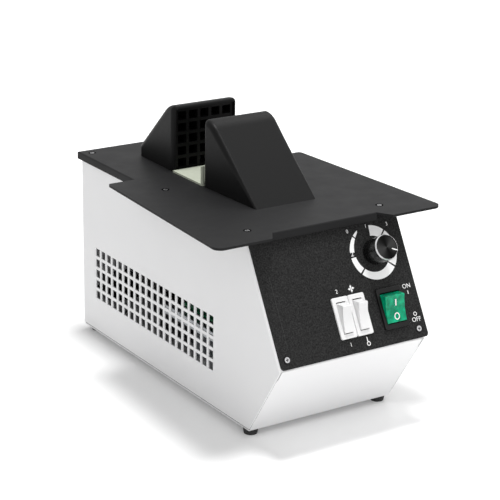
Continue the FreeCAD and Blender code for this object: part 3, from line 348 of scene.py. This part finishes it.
node_materials = {
    "housing_shell": white,
    "base_pan": pan_paint(),
    "top_plate": satin_black,
    "control_panel": textured_black_paint(),
    "front_hood": moulding,
    "rear_hood": moulding,
    "front_grille": moulding,
    "rear_grille": moulding,
    "heat_board": pale_board(),
    "knob": knob_plastic(),
    "knob_cap": spun_cap(),
    "knob_grub_screw": dark_steel,
    "potentiometer_body": plated,
    "potentiometer_shaft": plated,
    "potentiometer_nut": plated,
    "power_switch_body": black_gloss,
    "power_rocker": green_lens(),
    "fan_switch_body": rocker_white,
    "heat_switch_body": rocker_white,
    "fan_rocker": rocker_white,
    "heat_rocker": rocker_white,
    "switch_tags": brass,
    "blower_housing": gloss_plastic("blower_plastic", (0.04, 0.04, 0.04), roughness=0.5),
    "fan_wheel": plated,
    "motor_case": plated,
    "motor_bushes": brass,
    "motor_stator": iron,
    "motor_rotor": iron,
    "motor_shaft": bare,
    "motor_bracket": plated,
    "motor_screws": bare,
    "air_duct": galvanised,
    "duct_cover": galvanised,
    "heater_frame": gloss_plastic("heater_mica", (0.5, 0.45, 0.36), roughness=0.5),
    "heater_bars": metal("heater_metal", (0.4, 0.36, 0.33), roughness=0.5),
    "thermal_cutout": plated,
    "component_shelf": galvanised,
    "circuit_board": gloss_plastic("board_green", (0.02, 0.22, 0.09), roughness=0.35),
    "board_components": gloss_plastic("component_black", (0.03, 0.03, 0.03), roughness=0.4),
    "heat_sink": metal("heat_sink_aluminium", (0.7, 0.7, 0.72), roughness=0.35),
    "terminal_block": gloss_plastic("terminal_plastic", (0.8, 0.79, 0.75), roughness=0.4),
    "terminal_screws": brass,
    "power_inlet": black_gloss,
    "inlet_pins": brass,
    "inlet_screws": bare,
    "pan_screws": bare,
    "plate_screws": screw_steel("plate_screw_steel", "plate_screws", plate_out),
    "panel_screws": screw_steel("panel_screw_steel", "panel_screws", panel_out),
    "hood_screws": bare,
    "foot_screws": bare,
    "foot_front_left": foot_rubber,
    "foot_front_right": foot_rubber,
    "foot_rear_left": foot_rubber,
    "foot_rear_right": foot_rubber,
}
for node_name, material in node_materials.items():
    slots = nodes[node_name].data.materials
    slots.clear()
    slots.append(material)

# Camera, solved from the photograph's edges
camera_place = Vector((-0.790, -1.2022, 0.6094))
camera_azimuth = 33.5
camera_elevation = 19.11
camera_roll = 0.93
camera_lens = 129.27
camera_sensor = 36.0


def add_camera():
    azimuth = math.radians(camera_azimuth)
    elevation = math.radians(camera_elevation)
    roll = math.radians(camera_roll)
    forward = Vector((math.sin(azimuth) * math.cos(elevation), math.cos(azimuth) * math.cos(elevation),
                      -math.sin(elevation)))
    level = Vector((math.cos(azimuth), -math.sin(azimuth), 0))
    upright = level.cross(forward)
    right = level * math.cos(roll) + upright * math.sin(roll)
    up = upright * math.cos(roll) - level * math.sin(roll)
    data = bpy.data.cameras.new("camera")
    data.lens = camera_lens
    data.sensor_width = camera_sensor
    camera = bpy.data.objects.new("camera", data)
    turn = Matrix((right, up, -forward)).transposed().to_4x4()
    camera.matrix_world = Matrix.Translation(camera_place) @ turn
    bpy.context.scene.collection.objects.link(camera)
    bpy.context.scene.camera = camera


# Light: a white world and floor, which show brighter than they light, and five lamps
full_white = (1, 1, 1, 1)
lamp_target = Vector((0, 0, 0.1))


def show_white(owner, plain, shown):
    path = add_node(owner, "ShaderNodeLightPath").outputs
    seen = calculate(owner, "MAXIMUM", path["Is Camera Ray"], path["Is Glossy Ray"])
    seen = calculate(owner, "MAXIMUM", seen, path["Is Transmission Ray"])
    mix = add_node(owner, "ShaderNodeMixShader")
    link(owner, seen, mix.inputs["Fac"])
    link(owner, plain, mix.inputs[1])
    link(owner, shown, mix.inputs[2])
    return mix.outputs[0]


def add_world(strength):
    world = bpy.data.worlds.new("world")
    bpy.context.scene.world = world
    world.use_nodes = True
    plain = world.node_tree.nodes["Background"]
    plain.inputs["Color"].default_value = full_white
    plain.inputs["Strength"].default_value = strength
    shown = add_node(world, "ShaderNodeBackground")
    shown.inputs["Color"].default_value = full_white
    shown.inputs["Strength"].default_value = 1.0
    mixed = show_white(world, plain.outputs[0], shown.outputs[0])
    link(world, mixed, world.node_tree.nodes["World Output"].inputs["Surface"])


def add_floor(size, near, near_glow, far, far_glow):
    half = size / 2
    corners = [(-half, -half, 0), (half, -half, 0), (half, half, 0), (-half, half, 0)]
    data = bpy.data.meshes.new("floor")
    data.from_pydata(corners, [], [(0, 1, 2, 3)])
    floor = bpy.data.objects.new("floor", data)
    bpy.context.scene.collection.objects.link(floor)
    material = new_material("floor", (0.9, 0.9, 0.9), roughness=0.9, specular=0.0)
    plain = main_shader(material).outputs[0]
    distance = calculate_vector(material, "LENGTH", object_coordinates(material))
    emission = add_node(material, "ShaderNodeEmission")
    glow = remap(material, distance, near, far, near_glow, far_glow)
    link(material, glow, emission.inputs["Strength"])
    glowing = add_node(material, "ShaderNodeAddShader")
    link(material, plain, glowing.inputs[0])
    link(material, emission.outputs[0], glowing.inputs[1])
    mixed = show_white(material, plain, glowing.outputs[0])
    link(material, mixed, material.node_tree.nodes["Material Output"].inputs["Surface"])
    data.materials.append(material)


def add_area(name, place, size, power):
    data = bpy.data.lights.new(name, "AREA")
    data.shape = "SQUARE"
    data.size = size
    data.energy = power
    lamp = bpy.data.objects.new(name, data)
    lamp.location = place
    lamp.rotation_euler = (lamp_target - Vector(place)).to_track_quat("-Z", "Y").to_euler()
    bpy.context.scene.collection.objects.link(lamp)


add_camera()
add_world(strength=0.5)
add_floor(size=8.0, near=0.4, near_glow=0.1, far=1.2, far_glow=0.6)
add_area("key_light", place=(0.1, 0.05, 2.3), size=0.4, power=33)
add_area("front_light", place=(-0.3, -2.3, 0.35), size=1.2, power=16)
add_area("left_light", place=(-2.3, -0.6, 0.35), size=1.2, power=5.5)
add_area("slope_light", place=(1.15, -0.2, 1.8), size=1.4, power=8)
add_area("crown_light", place=(1.1, 0.7, 1.65), size=0.6, power=3)
bpy.context.scene.view_settings.view_transform = "Standard"

# Print and marks, which only the visual model has
printed = printed_white()
print_lift = 0.02
print_thickness = 0.08
faint_thickness = 0.03
ring_step = 15


def mesh_object(name, mesh, material, body):
    piece = bpy.data.objects.new(name, mesh)
    bpy.context.scene.collection.objects.link(piece)
    mesh.materials.append(material)
    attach(piece, body)
    return piece


def flat_print(name, outlines, lift=print_lift, body="body", placer=on_panel, material=printed,
               thickness=print_thickness):
    mesh = bpy.data.meshes.new(name)
    build = bmesh.new()
    for outline in outlines:
        low = [build.verts.new(placer(x, up, lift)) for x, up in outline]
        high = [build.verts.new(placer(x, up, lift + thickness)) for x, up in outline]
        count = len(outline)
        build.faces.new(high)
        build.faces.new(list(reversed(low)))
        for k in range(count):
            build.faces.new((low[k], low[(k + 1) % count], high[(k + 1) % count], high[k]))
    build.to_mesh(mesh)
    build.free()
    return mesh_object(name, mesh, material, body)


def circle_point(x, up, angle, radius):
    turn = math.radians(angle)
    return (x + radius * math.cos(turn), up + radius * math.sin(turn))


def bar(x, up, width, length):
    return [(x - width / 2, up - length / 2), (x + width / 2, up - length / 2),
            (x + width / 2, up + length / 2), (x - width / 2, up + length / 2)]


def ring(x, up, radius, stroke, stretch=1.0):
    halves = []
    for start in (0, 180):
        angles = [start + ring_step * k for k in range(180 // ring_step + 1)]
        outer = [circle_point(0, 0, angle, radius) for angle in angles]
        inner = [circle_point(0, 0, angle, radius - stroke) for angle in reversed(angles)]
        halves.append([(x + a, up + b * stretch) for a, b in outer + inner])
    return halves


# Wedge-shaped scale round the knob, with gaps given as angle and width
scale_outer = 22.3
scale_start = 117.0
scale_end = 445.0
scale_tip = 0.05
scale_thickness = 8.6
scale_growth = 0.4
scale_gaps = ((134.5, 1.2), (177.0, 4.8), (222.5, 1.6), (319.7, 1.6), (405.8, 1.4))
scale_step = 3
scale_least_steps = 4


def scale_inner(angle):
    share = max(0.0, (angle - scale_start) / (scale_end - scale_start))
    return scale_outer - scale_tip - scale_thickness * share ** scale_growth


def scale_segments():
    edges = [scale_start]
    for gap, width in scale_gaps:
        half = math.degrees(width / 2 / scale_outer)
        edges += [gap - half, gap + half]
    edges.append(scale_end)
    return list(zip(edges[0::2], edges[1::2]))


def scale_outline(start, end):
    steps = max(scale_least_steps, int((end - start) / scale_step))
    angles = [start + (end - start) * k / steps for k in range(steps + 1)]
    outer = [circle_point(knob_x, knob_up, angle, scale_outer) for angle in angles]
    inner = [circle_point(knob_x, knob_up, angle, scale_inner(angle)) for angle in reversed(angles)]
    return outer + inner


for index, (start, end) in enumerate(scale_segments()):
    flat_print("scale_band_%d" % (index + 1), [scale_outline(start, end)])

# Painted shadow: a black ring standing for the shaded gap round each countersunk screw of the top plate
screw_reach = 20.0
screw_gap_out = 0.5
screw_gap_in = 0.9


def screw_groups(name):
    groups = []
    for vertex in nodes[name].data.vertices:
        near = [group for group in groups if (group[0] - vertex.co).length < screw_reach * mm]
        if near:
            near[0].append(vertex.co)
        else:
            groups.append([vertex.co])
    return groups


def middle(values):
    return (min(values) + max(values)) / 2


def screw_gap_outlines():
    outlines = []
    for part in screw_groups("plate_screws"):
        xs = [point.x / mm for point in part]
        ys = [point.y / mm for point in part]
        head_radius = (max(xs) - min(xs)) / 2
        outlines += ring(middle(xs), middle(ys), head_radius + screw_gap_out, screw_gap_out + screw_gap_in)
    return outlines


# Flat black rings: painted shadow of the gap, with no gap in the geometry
painted_gap_shadow = new_material("painted_gap_shadow", (0.002, 0.002, 0.002), roughness=0.9, specular=0.0)
flat_print("plate_screw_gap_shadows", screw_gap_outlines(), placer=on_plate, material=painted_gap_shadow,
           thickness=faint_thickness)

# Pointer let into the knob's cap
knob_top = 19.8
cap_dish = 0.3
pointer_angle = -24.0
pointer_start = 4.9
pointer_end = 10.2
pointer_width = 0.8
pointer_depth = 2 * cap_dish
pointer_proud = 0.02


def on_cap(along, across, out):
    turn = math.radians(pointer_angle)
    x = knob_x + along * math.cos(turn) - across * math.sin(turn)
    up = knob_up + along * math.sin(turn) + across * math.cos(turn)
    return on_panel(x, up, out)


pointer = bar((pointer_start + pointer_end) / 2, 0, pointer_end - pointer_start, pointer_width)
flat_print("knob_pointer", [pointer], knob_top - pointer_depth, body="knob", placer=on_cap,
           thickness=pointer_depth + pointer_proud)

# Marks on the green rocker, laid on its hollow face
power_x = 45.2
power_up = 28.6
rocker_pivot_depth = 0.5
rocker_tilt = math.radians(16.5)
rocker_rise = 6.6
rocker_sag = 1.2
rocker_tip_half = 10.9
rocker_face_radius = (rocker_tip_half ** 2 + rocker_sag ** 2) / (2 * rocker_sag)


def rocker_face(along):
    return rocker_rise - rocker_sag + rocker_face_radius - math.sqrt(rocker_face_radius ** 2 - along ** 2)


def on_power_rocker(x, along, out):
    height = rocker_face(along) + out
    up = power_up + along * math.cos(rocker_tilt) - height * math.sin(rocker_tilt)
    lift = along * math.sin(rocker_tilt) + height * math.cos(rocker_tilt) - rocker_pivot_depth
    return on_panel(power_x + x, up, lift)


rocker_bar = bar(x=0.6, up=5.0, width=1.1, length=5.2)
rocker_ring = ring(x=0.6, up=-6.2, radius=2.6, stroke=0.75, stretch=1.12)
flat_print("rocker_on_mark", [rocker_bar], body="power_rocker", placer=on_power_rocker)
flat_print("rocker_off_mark", rocker_ring, body="power_rocker", placer=on_power_rocker)

# Marks printed on the panel
flat_print("panel_on_mark", [bar(x=64.6, up=37.9, width=0.7, length=2.8)])
flat_print("panel_off_mark", ring(x=65.8, up=19.7, radius=1.7, stroke=0.55))

# Petals of the fan mark: share of its radius, and degrees before and after the tip
petal_count = 4
petal_belly = 0.6
petal_near = -20
petal_far = 40


def fan_mark(x, up, radius):
    petals = []
    for k in range(petal_count):
        angle = 360 * k / petal_count
        tip = circle_point(x, up, angle, radius)
        near = circle_point(x, up, angle + petal_near, petal_belly * radius)
        far = circle_point(x, up, angle + petal_far, petal_belly * radius)
        petals.append([(x, up), near, tip, far])
    return petals


flat_print("panel_fan_mark", fan_mark(x=11.9, up=50.6, radius=3.2))

# Thermometer mark
heat_stem = bar(x=14.4, up=8.9, width=0.8, length=3.6)
heat_bulb = ring(x=14.8, up=5.2, radius=1.8, stroke=0.65)
flat_print("panel_heat_mark", [heat_stem] + heat_bulb)

# Faint edge of a label: a lighter strip, painted highlight along the label's raised edge
label_edge = bar(x=-59.3, up=45.5, width=0.25, length=61)
label_edge_highlight_color = new_material("label_line", (0.045, 0.045, 0.045), roughness=0.6, specular=0.1)
flat_print("label_line", [label_edge], material=label_edge_highlight_color, thickness=faint_thickness)

# Digits and words
capital_share = 0.7
text_depth = 0.04


def panel_text(name, text, x, up, height, stretch=1.0):
    data = bpy.data.curves.new(name, "FONT")
    data.body = text
    data.align_x = "CENTER"
    data.align_y = "CENTER"
    data.size = height * mm / capital_share
    data.extrude = text_depth * mm
    words = bpy.data.objects.new(name, data)
    bpy.context.scene.collection.objects.link(words)
    place = Matrix.Translation(on_panel(x, up, print_lift + text_depth))
    turn = Matrix((panel_right, panel_up, panel_out)).transposed().to_4x4()
    words.matrix_world = place @ turn @ Matrix.Diagonal((stretch, 1, 1, 1))
    bpy.context.view_layer.update()
    mesh = bpy.data.meshes.new_from_object(words)
    mesh.transform(words.matrix_world)
    bpy.data.objects.remove(words)
    return mesh_object(name, mesh, printed, "body")


panel_text("word_on", "ON", x=64.6, up=43.0, height=3.6)
panel_text("word_off", "OFF", x=65.8, up=15.0, height=3.6)
panel_text("digit_one", "1", x=41.1, up=97.0, height=2.9)
panel_text("digit_two", "2", x=21.5, up=76.9, height=3.5, stretch=1.25)
panel_text("digit_zero", "0", x=22.4, up=95.6, height=3.0)
panel_text("digit_three", "3", x=61.8, up=95.6, height=3.0)
panel_text("level_high", "2", x=-2.2, up=50.5, height=3.2)
panel_text("level_low", "1", x=-1.7, up=7.3, height=3.2)
